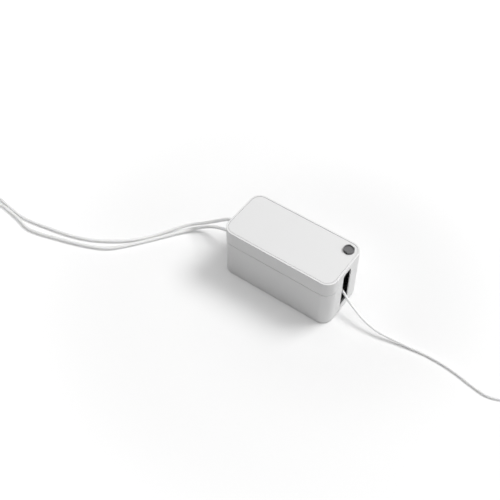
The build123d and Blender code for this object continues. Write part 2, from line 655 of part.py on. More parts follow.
gland_root = Plane(origin=(STRIP_LEFT, GLAND_Y, MAINS_EXIT_Z), z_dir=(-1, 0, 0))
gland_relief = relief(gland_root, MAINS_RELIEF_LEN, MAINS_D, RELIEF_WALL)
with BuildPart() as mains_relief:
    add(gland_relief)
    with BuildSketch(Plane.YZ.offset(STRIP_LEFT)):
        with Locations((GLAND_Y, MAINS_EXIT_Z)):
            Circle(GLAND_R)
    extrude(amount=STRIP_WALL + PART_GAP)
    with BuildSketch(Plane.YZ.offset(STRIP_LEFT + STRIP_WALL + PART_GAP)):
        with Locations((GLAND_Y, MAINS_EXIT_Z)):
            Circle(GLAND_R + GLAND_FLANGE_W)
    extrude(amount=GLAND_FLANGE_T)
save(mains_relief.part, "mains_relief")


def strip_plug(name, x, size_x, size_y, side, diameter):
    """Flat plug in an outlet, its lead leaving along X towards one side."""
    root = Plane(origin=(x + side * size_x / 2, STRIP_Y, PLUG_EXIT_Z), z_dir=(side, 0, 0))
    plug_relief = relief(root, PLUG_RELIEF_LEN, diameter, RELIEF_WALL)
    with BuildPart() as plug:
        with BuildSketch(Plane.XY.offset(PLUG_Z)):
            with Locations((x, STRIP_Y)):
                RectangleRounded(size_x, size_y, PLUG_R)
        extrude(amount=PLUG_H)
        fillet(plug.faces().sort_by(Axis.Z)[-1].edges(), PLUG_R / 2)
        add(plug_relief)
    save(plug.part, f"{name}_body")
    for contact, dy in (("live", -BLADE_DY), ("neutral", BLADE_DY)):
        with BuildPart() as blade:
            with BuildSketch(Plane.XY.offset(PLUG_Z)):
                with Locations((x + BLADE_DX, STRIP_Y + dy)):
                    Rectangle(BLADE_W, BLADE_T)
            extrude(amount=-BLADE_LEN)
        save(blade.part, f"{name}_{contact}_blade")


strip_plug("left_plug", OUTLET_XS[0], LEFT_PLUG_X, LEFT_PLUG_Y, -1, LEFT_LEAD_D)
strip_plug("right_plug", OUTLET_XS[1], RIGHT_PLUG_X, RIGHT_PLUG_Y, 1, RIGHT_LEAD_D)

with BuildPart() as left_plug_earth_pin:
    with BuildSketch(Plane.XY.offset(PLUG_Z)):
        with Locations((OUTLET_XS[0] + BLADE_DX - EARTH_SPACING, STRIP_Y)):
            Circle(EARTH_R)
    extrude(amount=-EARTH_LEN)
save(left_plug_earth_pin.part, "left_plug_earth_pin")


# ================================================================ leads
def corner_radii(points):
    """Radius of each corner: as large as its two runs allow."""
    corners = [Vector(*p) for p in points]
    radii = []
    for before, here, after in zip(corners, corners[1:], corners[2:]):
        first = here - before
        second = after - here
        half_turn = radians(first.get_angle(second)) / 2
        radii.append(0.45 * min(first.length, second.length) / tan(half_turn))
    return radii


def lead_tube(name, points, diameter):
    """Plain tube along the stretch of a lead that isn't coiled."""
    radii = corner_radii(points)
    with BuildPart() as tube:
        with BuildLine() as path:
            FilletPolyline(*points, radius=radii)
        line = path.wires()[0]
        with BuildSketch(Plane(origin=line @ 0, z_dir=line % 0)):
            Circle(diameter / 2)
        sweep(path=line)
    expected = pi * diameter**2 / 4 * line.length
    print(f"{name}: length {line.length:.0f}, tightest radius {min(radii) / diameter:.1f} diameters, "
          f"volume against section times length {tube.part.volume / expected:.4f}")
    print("   radii", " ".join(f"{r:.0f}" for r in radii))
    save(tube.part, name)
    return line.length


def coiled_end(name, points, diameter, turn_r, layer_turns):
    """Coil of two layers that the route runs into, turning left, with its tie and its tail.
    Returns the heading of the tail and the point where it ends, above its floor spot."""
    end = Vector(*points[-1])
    run = end - Vector(*points[-2])
    heading = Vector(run.X, run.Y, 0).normalized()
    left = Vector(-heading.Y, heading.X, 0)
    outer_turn = (turn_r + layer_turns / 2) * diameter
    width = (layer_turns + 1) * diameter
    middle = turn_r * diameter
    centre = Vector(end.X, end.Y, 0) + left * outer_turn
    with BuildPart() as coil:
        with BuildSketch(Plane(origin=centre, x_dir=(1, 0, 0), z_dir=(0, -1, 0))):
            with Locations((middle, COIL_LIFT + diameter)):
                RectangleRounded(width, 2 * diameter, diameter / 2.2)
        revolve(axis=Axis(centre, (0, 0, 1)))
    save(coil.part, f"{name}_coil")
    tie_plane = Plane(origin=centre + left * middle, x_dir=left, z_dir=heading)
    inside = middle - width / 2
    bulge = inside - sqrt(inside**2 - (TIE_W / 2) ** 2)
    tie_x = width + 2 * (TIE_GAP + bulge)
    tie_z = 2 * diameter + 2 * TIE_GAP
    with BuildPart() as tie:
        with BuildSketch(tie_plane):
            with Locations((0, COIL_LIFT + diameter)):
                RectangleRounded(tie_x + 2 * TIE_T, tie_z + 2 * TIE_T, diameter / 2)
                RectangleRounded(tie_x, tie_z, diameter / 2 - TIE_T, mode=Mode.SUBTRACT)
        extrude(amount=TIE_W / 2, both=True)
    save(tie.part, f"{name}_tie")
    return heading, Vector(end.X, end.Y, COIL_LIFT + 1.5 * diameter)


def far_end(name, heading, leaves, diameter, size, relief_length):
    """Tail of a lead and the body of its far plug, on the floor beside the coil.
    Returns the body and the plane of its face."""
    width, height, length = size
    mouth = Vector(leaves.X, leaves.Y, FAR_LIFT + height / 2) + heading * TAIL * diameter
    tail_run = mouth - leaves
    with BuildPart() as tail:
        with BuildSketch(Plane(origin=leaves, z_dir=tail_run.normalized())):
            Circle(diameter / 2)
        extrude(amount=tail_run.length)
    save(tail.part, f"{name}_tail")
    face = Plane(
        origin=mouth + heading * (relief_length + length),
        x_dir=(-heading.Y, heading.X, 0),
        z_dir=heading,
    )
    root = Plane(origin=mouth + heading * relief_length, z_dir=-heading)
    plug_relief = relief(root, relief_length, diameter, FAR_RELIEF_WALL)
    with BuildPart() as body:
        with BuildSketch(face):
            RectangleRounded(width, height, height / 4)
        with BuildSketch(face.offset(-length)):
            RectangleRounded(width * NECK_SCALE, height * NECK_SCALE, height * NECK_SCALE / 4)
        loft()
        add(plug_relief)
    return body.part, face


def lead(name, points, diameter, turn_r, layer_turns, size, relief_length):
    """One lead from its strain relief to its far plug; prints its whole length."""
    routed = lead_tube(name, points, diameter)
    heading, leaves = coiled_end(name, points, diameter, turn_r, layer_turns)
    body, face = far_end(name, heading, leaves, diameter, size, relief_length)
    coiled = 2 * layer_turns * 2 * pi * turn_r * diameter
    print(f"{name}: whole length about {routed + coiled + TAIL * diameter:.0f}")
    return body, face


mains_body, mains_face = lead(
    "mains_lead", MAINS_ROUTE, MAINS_D, MAINS_COIL_R, MAINS_LAYER_TURNS, MAINS_PLUG, MAINS_PLUG_RELIEF
)
save(mains_body, "mains_plug_body")
for contact, dx in (("live", -BLADE_DY), ("neutral", BLADE_DY)):
    with BuildPart() as blade:
        with BuildSketch(mains_face):
            with Locations((dx, PIN_RISE)):
                Rectangle(BLADE_T, BLADE_W)
        extrude(amount=BLADE_LEN)
    save(blade.part, f"mains_plug_{contact}_blade")
with BuildPart() as mains_plug_earth_pin:
    with BuildSketch(mains_face):
        with Locations((0, PIN_RISE - EARTH_SPACING)):
            Circle(EARTH_R)
    extrude(amount=EARTH_LEN)
save(mains_plug_earth_pin.part, "mains_plug_earth_pin")

left_body, left_face = lead(
    "left_lead", LEFT_ROUTE, LEFT_LEAD_D, LEFT_COIL_R, LEFT_LAYER_TURNS, LEFT_CONNECTOR, LEFT_CONNECTOR_RELIEF
)
with BuildPart() as left_connector:
    add(left_body)
    with BuildSketch(left_face):
        with Locations((-CONTACT_SPACING / 2, -CONTACT_RISE / 2), (CONTACT_SPACING / 2, -CONTACT_RISE / 2)):
            Rectangle(CONTACT_T, CONTACT_W)
        with Locations((0, CONTACT_RISE / 2)):
            Rectangle(CONTACT_T, CONTACT_W)
    extrude(amount=-CONTACT_DEPTH, mode=Mode.SUBTRACT)
save(left_connector.part, "left_connector")

right_body, right_face = lead(
    "right_lead", RIGHT_ROUTE, RIGHT_LEAD_D, RIGHT_COIL_R, RIGHT_LAYER_TURNS, RIGHT_CONNECTOR,
    RIGHT_CONNECTOR_RELIEF,
)
with BuildPart() as right_connector:
    add(right_body)
    with BuildSketch(right_face):
        with Locations((-PIN_HOLE_SPACING / 2, 0), (PIN_HOLE_SPACING / 2, 0)):
            Circle(PIN_HOLE_R)
    extrude(amount=-PIN_HOLE_DEPTH, mode=Mode.SUBTRACT)
save(right_connector.part, "right_connector")
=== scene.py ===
# %% [markdown]
# # A cable management box
# A lidded box with rounded corners hides a power strip. Three leads come out of the slots in
# its ends. The engineering model is loaded as a fixed frame: every piece below is made in
# metres, in the same place, and rides on one of the frame's bodies.

# %% Load the frame
import json
from math import cos, pi, radians, sin

import bpy
import numpy as np
from mathutils import Matrix, Vector


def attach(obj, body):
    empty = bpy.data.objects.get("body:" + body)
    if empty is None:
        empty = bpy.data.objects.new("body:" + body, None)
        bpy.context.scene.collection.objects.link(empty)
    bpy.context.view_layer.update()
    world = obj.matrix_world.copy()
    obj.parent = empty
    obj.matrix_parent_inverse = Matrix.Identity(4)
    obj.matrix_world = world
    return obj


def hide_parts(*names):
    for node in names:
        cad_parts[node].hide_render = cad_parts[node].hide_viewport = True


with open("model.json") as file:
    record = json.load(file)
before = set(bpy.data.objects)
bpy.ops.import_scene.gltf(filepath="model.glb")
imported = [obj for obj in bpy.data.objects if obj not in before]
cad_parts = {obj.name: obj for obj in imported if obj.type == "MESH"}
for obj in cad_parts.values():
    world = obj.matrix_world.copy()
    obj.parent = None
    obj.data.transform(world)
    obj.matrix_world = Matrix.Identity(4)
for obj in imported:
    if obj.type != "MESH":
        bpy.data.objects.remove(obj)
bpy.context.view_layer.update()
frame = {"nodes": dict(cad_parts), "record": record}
nodes = frame["nodes"]

MM = 0.001  # tables of sizes are in millimetres, meshes in metres
UP = np.array((0.0, 0.0, 1.0))

# %% [markdown]
# ## The camera
# A long lens far away keeps the box's edges nearly parallel. A camera looks along its own
# -Z, so its turn is built from three unit vectors: to its right, up, and back to the eye.

# %% Camera
VIEW_YAW = radians(35.55)
VIEW_PITCH = radians(50.96)
VIEW_DISTANCE = 1.6453
VIEW_TARGET = Vector((-0.07712, -0.03145, 0.065))
FOCAL_LENGTH = 59.69  # mm, on a sensor 36 mm wide

level = cos(VIEW_PITCH)
back = Vector((sin(VIEW_YAW) * level, -cos(VIEW_YAW) * level, sin(VIEW_PITCH)))
right = Vector((cos(VIEW_YAW), sin(VIEW_YAW), 0))
up = back.cross(right)
lens = bpy.data.cameras.new("view")
lens.lens = FOCAL_LENGTH
lens.sensor_width = 36
lens.clip_start = 0.05
camera = bpy.data.objects.new("view", lens)
turn = Matrix((right, up, back)).transposed()
camera.matrix_world = Matrix.Translation(VIEW_TARGET + back * VIEW_DISTANCE) @ turn.to_4x4()
bpy.context.scene.collection.objects.link(camera)
bpy.context.scene.camera = camera
print("camera at", [round(x, 3) for x in camera.matrix_world.translation])

# %% [markdown]
# ## The leads
# A lead is one length of flexible cord, so each is one smooth NURBS curve with a round
# bevel. Its first points are the route from its strain relief over the desk; the rest is
# the length that is put away. That part is a flat coil of two layers: on the lower layer
# the turns spiral inwards, one diameter apart, the cord climbs at the middle, and on the
# upper layer it spirals out again, so the layers never press into each other. A spline
# with order 3 and its end points in use stays smooth between its points, and runs a little
# inside a ring of them, so a coil's points are set a little further out.

# %% Lead helper
TURN_POINTS = 20  # control points in each turn of a coil
CLIMB_TURNS = 0.25  # share of a turn in which the cord climbs to the upper layer
COIL_LIFT = 0.0012  # height of a coil above the floor, because it lies on its tie (m)
COIL_TAIL = 4.5  # from a coil to the far plug's mouth, in cord diameters


def smooth(share):
    """A smooth step from 0 to 1: 3 * share squared - 2 * share cubed."""
    return share * share * (3 - 2 * share)


def coil_points(route, diameter, turn_radius, layer_turns):
    """Control points of a coil that a route runs into, turning left.
    Radius: outer - turns * diameter on the lower layer, and back out on the upper one.
    Height: a smooth step of one diameter over a quarter of a turn, half way through.
    Returns the points, the heading of the route's end and the coil's middle on the floor."""
    end, before = route[-1], route[-2]
    heading = (end - before)[:2]
    heading = heading / np.hypot(*heading)
    left = np.array((-heading[1], heading[0]))
    outer = (turn_radius + layer_turns / 2) * diameter
    centre = end[:2] + left * outer
    turns = np.arange(1, round(2 * layer_turns * TURN_POINTS) + 1) / TURN_POINTS
    radius = outer - diameter * (layer_turns - np.abs(turns - layer_turns))
    radius = radius / cos(pi / TURN_POINTS) ** 0.5
    climb = np.clip((turns - layer_turns) / CLIMB_TURNS + 0.5, 0, 1)
    height = COIL_LIFT + diameter * (0.5 + smooth(climb))
    angle = 2 * pi * turns
    outwards = np.sin(angle)[:, None] * heading - np.cos(angle)[:, None] * left
    plan = centre + radius[:, None] * outwards
    plan[-1] = end[:2]
    return np.column_stack((plan, height)), heading, centre


def lead_curve(name, route_mm, diameter, turn_radius, layer_turns, mouth_z):
    """One lead: its route, its coil and the tail to its far plug, as one NURBS curve. The
    coil's mean radius is counted in diameters. Returns the curve, and where its start, its
    coil, its far plug's mouth and that plug's heading are."""
    route = np.array(route_mm) * MM
    coil, heading, centre = coil_points(route, diameter, turn_radius, layer_turns)
    along = np.array((0.33, 0.67, 1.0))[:, None] * COIL_TAIL * diameter * heading
    height = (coil[-1, 2], mouth_z, mouth_z)
    tail = np.column_stack((coil[-1, :2] + along, height))
    points = np.vstack((route, coil, tail))
    curve = bpy.data.curves.new(name, "CURVE")
    curve.dimensions = "3D"
    curve.bevel_depth = 1.0  # times each point's radius
    curve.bevel_resolution = 5
    curve.resolution_u = 5
    curve.use_fill_caps = True
    spline = curve.splines.new("NURBS")
    spline.points.add(len(points) - 1)
    spline.points.foreach_set("co", np.column_stack((points, np.ones(len(points)))).ravel())
    spline.points.foreach_set("radius", np.full(len(points), diameter / 2))
    spline.order_u = 3
    spline.use_endpoint_u = True
    piece = bpy.data.objects.new(name, curve)
    bpy.context.scene.collection.objects.link(piece)
    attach(piece, "case")
    stem = name.removesuffix("_cord")
    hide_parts(stem, stem + "_coil", stem + "_tail")
    print(name, len(points), "points")
    return piece, {
        "start": route[0], "centre": centre, "heading": np.array((*heading, 0.0)),
        "mouth": tail[-1], "diameter": diameter,
        "turn_radius": turn_radius, "layer_turns": layer_turns,
    }


# %% [markdown]
# ### Three routes
# A route starts in the mouth of its strain relief inside the box, goes out through the slot
# in the box's end, comes down to the desk and runs on over it. There the cord's middle is
# half a diameter above the floor. The last points turn towards the coil.

# %% Leads
MAINS_D = 0.0076  # cord diameters, in metres
LEFT_D = 0.0072
RIGHT_D = 0.0056

MAINS_ROUTE = [
    (-78, 14, 24), (-93, 12.5, 26), (-109, 7.5, 31.5), (-129.1, 2.6, 38.5), (-152.2, 1.8, 39.7),
    (-176.2, 3.2, 32.3), (-199.1, 2.5, 22.5), (-220.6, -4.5, 12.7), (-239.4, -20.5, 6.7),
    (-257.6, -42.3, 4.1), (-280.2, -74.6, 3.9), (-300.4, -102.3, 3.9), (-321.4, -129.9, 3.9),
    (-348.1, -160.6, 3.9), (-388, -179.7, 3.9), (-425.2, -192.6, 3.9), (-462.9, -204, 3.9),
    (-498.8, -214.7, 3.9), (-527.3, -218.7, 3.9), (-555.4, -210.6, 3.9), (-589.2, -205.8, 3.9),
    (-624, -201.6, 4), (-649.1, -223.3, 4.5), (-667.1, -236.8, 5),
]
LEFT_ROUTE = [
    (-40, 21, 48), (-61, 19.5, 52), (-84, 13, 62), (-106, 5.5, 72.5), (-128.3, 3.8, 79.5),
    (-148.4, 4.3, 77), (-164.2, 4.2, 66.5), (-182.3, 0.7, 53), (-202.7, -3.8, 38.5),
    (-223.3, -9.1, 26), (-244.7, -18.6, 16.5), (-264.9, -39.6, 10.5), (-285.6, -68.1, 5),
    (-306.1, -95.7, 3.7), (-330.1, -120.7, 3.7), (-356.1, -140.7, 3.7), (-384.7, -158.8, 3.7),
    (-416.7, -172.9, 3.7), (-452.9, -183.7, 3.7), (-491, -191.1, 3.7), (-529.7, -199.3, 3.7),
    (-561.1, -201.8, 3.7), (-598.1, -196.9, 3.7), (-635, -191.4, 3.7), (-672, -186.4, 3.8),
    (-706.9, -178.9, 4.3), (-740.9, -171.3, 4.8),
]
RIGHT_ROUTE = [
    (60, 21, 48), (77, 19.8, 48.3), (94, 14.8, 47), (110, 8.5, 44.5), (124.7, 1.3, 40.5),
    (143.1, -5.3, 32.4), (160.5, -10.6, 26.2), (176.9, -14.8, 21.2), (192.3, -17.3, 17),
    (206.4, -18, 13.8), (219.8, -17.7, 11.2), (232.2, -15.9, 9.3), (244.3, -13.9, 7.8),
    (256.6, -12.2, 6.3), (281, -8.7, 4), (304.9, -5.2, 2.9), (329.6, -4.1, 2.9),
    (355.3, -5.2, 2.9), (381.7, -8.5, 2.9), (408.9, -14.2, 2.9), (434.9, -18.3, 2.9),
    (452, -16.5, 2.9), (469, -9, 3), (489, -2, 3.5), (508, 3, 4),
]

mains_lead, mains_end = lead_curve(
    "mains_lead_cord", MAINS_ROUTE, MAINS_D, turn_radius=5.6, layer_turns=2, mouth_z=0.0133
)
left_lead, left_end = lead_curve(
    "left_lead_cord", LEFT_ROUTE, LEFT_D, turn_radius=5.4, layer_turns=2, mouth_z=0.01005
)
right_lead, right_end = lead_curve(
    "right_lead_cord", RIGHT_ROUTE, RIGHT_D, turn_radius=5.7, layer_turns=2.5, mouth_z=0.00605
)

# %% [markdown]
# ## Finishes
# Every finish is a Principled shader. What changes over a surface comes from three shared
# groups, so the same grain, drift or weave is built once and placed with its own values:
# moulded grain for plastics and rubber, drawn metal for pins and rails, and a woven strap.
# The first two read Object coordinates, which are metres here, so a size in them is a real
# size. The strap reads its own UV map, which is in metres too.

# %% Node helpers


def new_group(name, inputs, outputs):
    """An empty node group with float, colour or vector sockets."""
    group = bpy.data.node_groups.new(name, "ShaderNodeTree")
    for kind, label, value in inputs:
        kind = "NodeSocket" + kind
        socket = group.interface.new_socket(name=label, in_out="INPUT", socket_type=kind)
        socket.default_value = value
    for kind, label in outputs:
        kind = "NodeSocket" + kind
        group.interface.new_socket(name=label, in_out="OUTPUT", socket_type=kind)
    return group


def add(tree, kind, **settings):
    """A shader node of one kind, with its own settings."""
    node = tree.nodes.new("ShaderNode" + kind)
    for label, value in settings.items():
        setattr(node, label, value)
    return node


def feed(tree, value, socket):
    """Set an input to a number, or link it to another node's output."""
    if isinstance(value, (int, float)):
        socket.default_value = value
    else:
        tree.links.new(value, socket)


def calc(tree, operation, *values):
    """A Math node on values that are sockets or numbers; returns its output."""
    node = add(tree, "Math", operation=operation)
    for place, value in enumerate(values):
        feed(tree, value, node.inputs[place])
    return node.outputs[0]


def noise(tree, place, scale, detail):
    """A noise texture read at a place; its scale is a number or a socket."""
    node = add(tree, "TexNoise")
    node.inputs["Detail"].default_value = detail
    tree.links.new(place, node.inputs["Vector"])
    feed(tree, scale, node.inputs["Scale"])
    return node.outputs["Fac"]


def shaded(tree, color, factor):
    """A colour socket times a value socket."""
    node = add(tree, "VectorMath", operation="SCALE")
    tree.links.new(color, node.inputs[0])
    tree.links.new(factor, node.inputs["Scale"])
    return node.outputs["Vector"]


def bumped(tree, height, depth):
    """The normal of a height map whose full depth is in metres."""
    node = add(tree, "Bump")
    tree.links.new(depth, node.inputs["Distance"])
    tree.links.new(height, node.inputs["Height"])
    return node.outputs["Normal"]


print("node helpers ready")

# %% [markdown]
# ### Moulded grain
# A mould is spark-eroded, so a plain plastic wall has a very fine, even roughness. Three
# noises stand for it: one of some centimetres that makes the colour drift a little, as
# regrind and handling do, one of a few millimetres that makes the gloss patchy, and the
# grain itself, which is only a bump of some hundredths of a millimetre.

# %% Group: moulded grain
DRIFT_PER_METRE = 16
PATCH_PER_METRE = 260


def moulded_grain_group():
    """Colour times (1 - drift * slow noise); roughness + patch * (medium noise - 0.5); bump
    from fine noise."""
    group = new_group(
        "moulded_grain",
        [
            ("Color", "Color", (0.8, 0.8, 0.8, 1)), ("Float", "Drift", 0.03),
            ("Float", "Roughness", 0.5), ("Float", "Patch", 0.08),
            ("Float", "Grain per metre", 2500.0), ("Float", "Depth", 0.00002),
        ],
        [("Color", "Color"), ("Float", "Roughness"), ("Vector", "Normal")],
    )
    given = group.nodes.new("NodeGroupInput").outputs
    result = group.nodes.new("NodeGroupOutput").inputs
    place = add(group, "TexCoord").outputs["Object"]
    drift = calc(group, "MULTIPLY", noise(group, place, DRIFT_PER_METRE, 3), given["Drift"])
    kept = calc(group, "SUBTRACT", 1.0, drift)
    group.links.new(shaded(group, given["Color"], kept), result["Color"])
    patch = calc(group, "SUBTRACT", noise(group, place, PATCH_PER_METRE, 4), 0.5)
    rough = calc(group, "MULTIPLY_ADD", patch, given["Patch"], given["Roughness"])
    group.links.new(rough, result["Roughness"])
    fine = noise(group, place, given["Grain per metre"], 2)
    group.links.new(bumped(group, fine, given["Depth"]), result["Normal"])
    return group


MOULDED_GRAIN = moulded_grain_group()
print("group", MOULDED_GRAIN.name)

# %% [markdown]
# ### Drawn metal
# Rails are slit from rolled sheet and pins are cut from drawn bar, so both carry fine lines
# along one direction. A noise squeezed across that direction gives the lines; a slower
# noise gives the darker clouds where fingers and heat have tarnished the metal.

# %% Group: drawn metal
CLOUDS_PER_METRE = 180
LINE_GLOSS = 0.2  # how far the lines change the roughness


def drawn_metal_group():
    """Colour times (1 - tarnish * clouds); roughness + LINE_GLOSS * (lines - 0.5); bump from
    the same lines."""
    group = new_group(
        "drawn_metal",
        [
            ("Color", "Color", (0.7, 0.7, 0.7, 1)), ("Float", "Tarnish", 0.2),
            ("Float", "Roughness", 0.3), ("Vector", "Lines per metre", (300.0, 6000.0, 6000.0)),
            ("Float", "Depth", 0.000004),
        ],
        [("Color", "Color"), ("Float", "Roughness"), ("Vector", "Normal")],
    )
    given = group.nodes.new("NodeGroupInput").outputs
    result = group.nodes.new("NodeGroupOutput").inputs
    place = add(group, "TexCoord").outputs["Object"]
    squeeze = add(group, "VectorMath", operation="MULTIPLY")
    group.links.new(place, squeeze.inputs[0])
    group.links.new(given["Lines per metre"], squeeze.inputs[1])
    lines = noise(group, squeeze.outputs["Vector"], 1, 3)
    clouds = noise(group, place, CLOUDS_PER_METRE, 4)
    kept = calc(group, "SUBTRACT", 1.0, calc(group, "MULTIPLY", clouds, given["Tarnish"]))
    group.links.new(shaded(group, given["Color"], kept), result["Color"])
    spread = calc(group, "MULTIPLY", calc(group, "SUBTRACT", lines, 0.5), LINE_GLOSS)
    group.links.new(calc(group, "ADD", spread, given["Roughness"]), result["Roughness"])
    group.links.new(bumped(group, lines, given["Depth"]), result["Normal"])
    return group


DRAWN_METAL = drawn_metal_group()
print("group", DRAWN_METAL.name)

# %% [markdown]
# ### Woven strap
# A cable tie strap is a narrow plain weave: over one thread, under the next. With u along
# the strap and v across it, both counted in threads, each thread is half a sine wave across
# its own width, and a checkerboard picks which of the two directions lies on top. The low
# spots between threads are painted darker in colour: painted shade.

# %% Group: woven strap
WEAVE_GLOSS = 0.1  # how much rougher the low spots are


def woven_strap_group():
    """Height = |sin(pi v)| where floor(u) + floor(v) is even, else |sin(pi u)|; low spots get
    painted shade in their colour and are rougher."""
    group = new_group(
        "woven_strap",
        [
            ("Color", "Color", (0.5, 0.5, 0.5, 1)), ("Float", "Threads per metre", 1800.0),
            ("Float", "Shade", 0.5), ("Float", "Roughness", 0.85), ("Float", "Depth", 0.0002),
        ],
        [("Color", "Color"), ("Float", "Roughness"), ("Vector", "Normal")],
    )
    given = group.nodes.new("NodeGroupInput").outputs
    result = group.nodes.new("NodeGroupOutput").inputs
    flat = add(group, "SeparateXYZ")
    group.links.new(add(group, "TexCoord").outputs["UV"], flat.inputs[0])
    u = calc(group, "MULTIPLY", flat.outputs["X"], given["Threads per metre"])
    v = calc(group, "MULTIPLY", flat.outputs["Y"], given["Threads per metre"])
    cell = calc(group, "ADD", calc(group, "FLOOR", u), calc(group, "FLOOR", v))
    odd = calc(group, "FLOORED_MODULO", cell, 2.0)
    along = calc(group, "ABSOLUTE", calc(group, "SINE", calc(group, "MULTIPLY", v, pi)))
    across = calc(group, "ABSOLUTE", calc(group, "SINE", calc(group, "MULTIPLY", u, pi)))
    step = calc(group, "MULTIPLY", calc(group, "SUBTRACT", across, along), odd)
    height = calc(group, "ADD", along, step)
    # Painted shade: the colour is darkened in the weave's low spots, where shade falls.
    low = calc(group, "MULTIPLY", calc(group, "SUBTRACT", 1.0, height), given["Shade"])
    kept = calc(group, "SUBTRACT", 1.0, low)
    group.links.new(shaded(group, given["Color"], kept), result["Color"])
    rough = calc(group, "MULTIPLY_ADD", low, WEAVE_GLOSS, given["Roughness"])
    group.links.new(rough, result["Roughness"])
    group.links.new(bumped(group, height, given["Depth"]), result["Normal"])
    return group


WOVEN_STRAP = woven_strap_group()
print("group", WOVEN_STRAP.name)

# %% [markdown]
# ### One finish for each stuff
# A finish places one group in its own material with its own values. What is the same all
# over a surface, such as metalness or the light that a soft cord jacket lets in, is set
# straight on the shader. Jackets and moulded-on plugs are soft PVC, so a little of the light
# that enters them comes out again nearby and fills their shaded side.

# %% Finishes
SHADER_INPUTS = {"Color": "Base Color", "Roughness": "Roughness", "Normal": "Normal"}
SOFT_PVC = {
    "Subsurface_Weight": 0.6, "Subsurface_Radius": (1.0, 1.0, 0.95), "Subsurface_Scale": 0.004,
}
DRAWN_ALONG_X = (300.0, 6000.0, 6000.0)  # noise features per metre on each axis
DRAWN_ALONG_Z = (5000.0, 5000.0, 400.0)
FINISH = {}


def finish(name, group, values, **constants):
    """A material with one group joined to its shader, and constants set on the shader. It is
    kept in FINISH under its name, which is also the name of its slot."""
    material = bpy.data.materials.new(name)
    material.use_nodes = True
    tree = material.node_tree
    shader = tree.nodes["Principled BSDF"]
    node = tree.nodes.new("ShaderNodeGroup")
    node.node_tree = group
    for label, value in values.items():
        node.inputs[label].default_value = value
    for label, socket in SHADER_INPUTS.items():
        tree.links.new(node.outputs[label], shader.inputs[socket])
    for label, value in constants.items():
        shader.inputs[label.replace("_", " ")].default_value = value
    FINISH[name] = material


def moulded(
    name, color, roughness, drift=0.03, patch=0.08, grain=2500.0, depth=0.00002, **constants
):
    """A plastic or rubber finish."""
    values = {
        "Color": (*color, 1), "Drift": drift, "Roughness": roughness, "Patch": patch,
        "Grain per metre": grain, "Depth": depth,
    }
    finish(name, MOULDED_GRAIN, values, **constants)


def drawn(name, color, roughness, tarnish, lines):
    """A metal finish with its drawing lines along one axis."""
    values = {
        "Color": (*color, 1), "Roughness": roughness, "Tarnish": tarnish,
        "Lines per metre": lines,
    }
    finish(name, DRAWN_METAL, values, Metallic=1.0)


moulded("case_white", (0.83, 0.83, 0.83), 0.42, drift=0.02)
moulded("tray_mat", (0.795, 0.795, 0.795), 0.62, drift=0.02, grain=1800, depth=0.00003)
moulded("cap_grey", (0.145, 0.145, 0.149), 0.5, drift=0.15, grain=1500, depth=0.00004)
moulded("foot_rubber", (0.05, 0.05, 0.052), 0.75, drift=0.2)
moulded("pad_foam", (0.02, 0.02, 0.02), 0.95, drift=0.3, grain=900, depth=0.0002)
moulded("strip_black", (0.022, 0.022, 0.024), 0.5, drift=0.15, grain=2200, depth=0.00004)
moulded("outlet_black", (0.03, 0.03, 0.033), 0.35, drift=0.1, grain=3000, depth=0.00001)
moulded("rocker_red", (0.55, 0.03, 0.02), 0.22, drift=0.1, patch=0.05, depth=0.000005)
moulded("button_black", (0.03, 0.03, 0.03), 0.3, drift=0.1, patch=0.05)
drawn("contact_brass", (0.8, 0.58, 0.26), 0.3, 0.25, DRAWN_ALONG_X)
drawn("pin_nickel", (0.72, 0.70, 0.66), 0.24, 0.12, DRAWN_ALONG_Z)
drawn("screw_steel", (0.6, 0.6, 0.6), 0.32, 0.2, DRAWN_ALONG_Z)
moulded("board_green", (0.03, 0.2, 0.07), 0.35, drift=0.2)
moulded("varistor_blue", (0.03, 0.1, 0.42), 0.25, drift=0.1)
moulded("cord_white", (0.93, 0.93, 0.925), 0.4, drift=0.03, grain=1800, **SOFT_PVC)
moulded("plug_white", (0.88, 0.88, 0.875), 0.42, drift=0.03, **SOFT_PVC)
# The strap's Shade value is the strength of the painted shade in the low spots of its weave.
finish(
    "tie_strap", WOVEN_STRAP,
    {
        "Color": (0.78, 0.78, 0.775, 1), "Threads per metre": 1500.0, "Shade": 0.35,
        "Depth": 0.00025,
    },
)
moulded("mark_white", (0.85, 0.85, 0.85), 0.4, grain=3000)

for part in frame["record"]["subparts"]:
    piece = nodes[part["node"]]
    piece.data.materials.clear()
    piece.data.materials.append(FINISH[part["material_slot"]])
for piece in (mains_lead, left_lead, right_lead):
    piece.data.materials.append(FINISH["cord_white"])

# %% [markdown]
# ## Moulded pieces on the leads
# The pieces that are moulded on a lead are one kind of surface: a skin over a stack of
# outlines that stand across the lead. An outline is a rounded rectangle, found from the
# angle of its outward normal, which gives a circle when its corner radius is half its
# width.

# %% Outlines and skins
SHARP_EDGE = radians(40)  # edges that bend more than this are shaded sharp


def normal_angles(around):
    """The angles of an outline's outward normals: evenly spread, and none on an axis."""
    return (np.arange(around) + 0.5) * 2 * pi / around


def rounded_outline(half_wide, half_high, corner, around):
    """Rounded rectangles, one for each station: the corner's middle + corner radius * normal,
    with the normal's angle going once round. Arrays in; out: (stations, around, 2)."""
    angle = normal_angles(around)
    normal = np.stack((np.cos(angle), np.sin(angle)), -1)
    core = np.stack((half_wide - corner, half_high - corner), -1)[:, None, :]
    return core * np.sign(normal) + corner[:, None, None] * normal


def one_outline(half_wide, half_high, corner, around):
    """A single rounded rectangle, as (around, 2) points across and up."""
    sizes = [np.array((size,)) for size in (half_wide, half_high, corner)]
    return rounded_outline(*sizes, around)[0]


def added(name, mesh, slot, body):
    """Put a mesh in the scene as a piece that rides on a body and wears a slot's finish. The
    white of the marks is no slot of the record."""
    mesh.materials.append(FINISH[slot])
    piece = bpy.data.objects.new(name, mesh)
    bpy.context.scene.collection.objects.link(piece)
    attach(piece, body)
    print(name, len(mesh.polygons), "faces")
    return piece


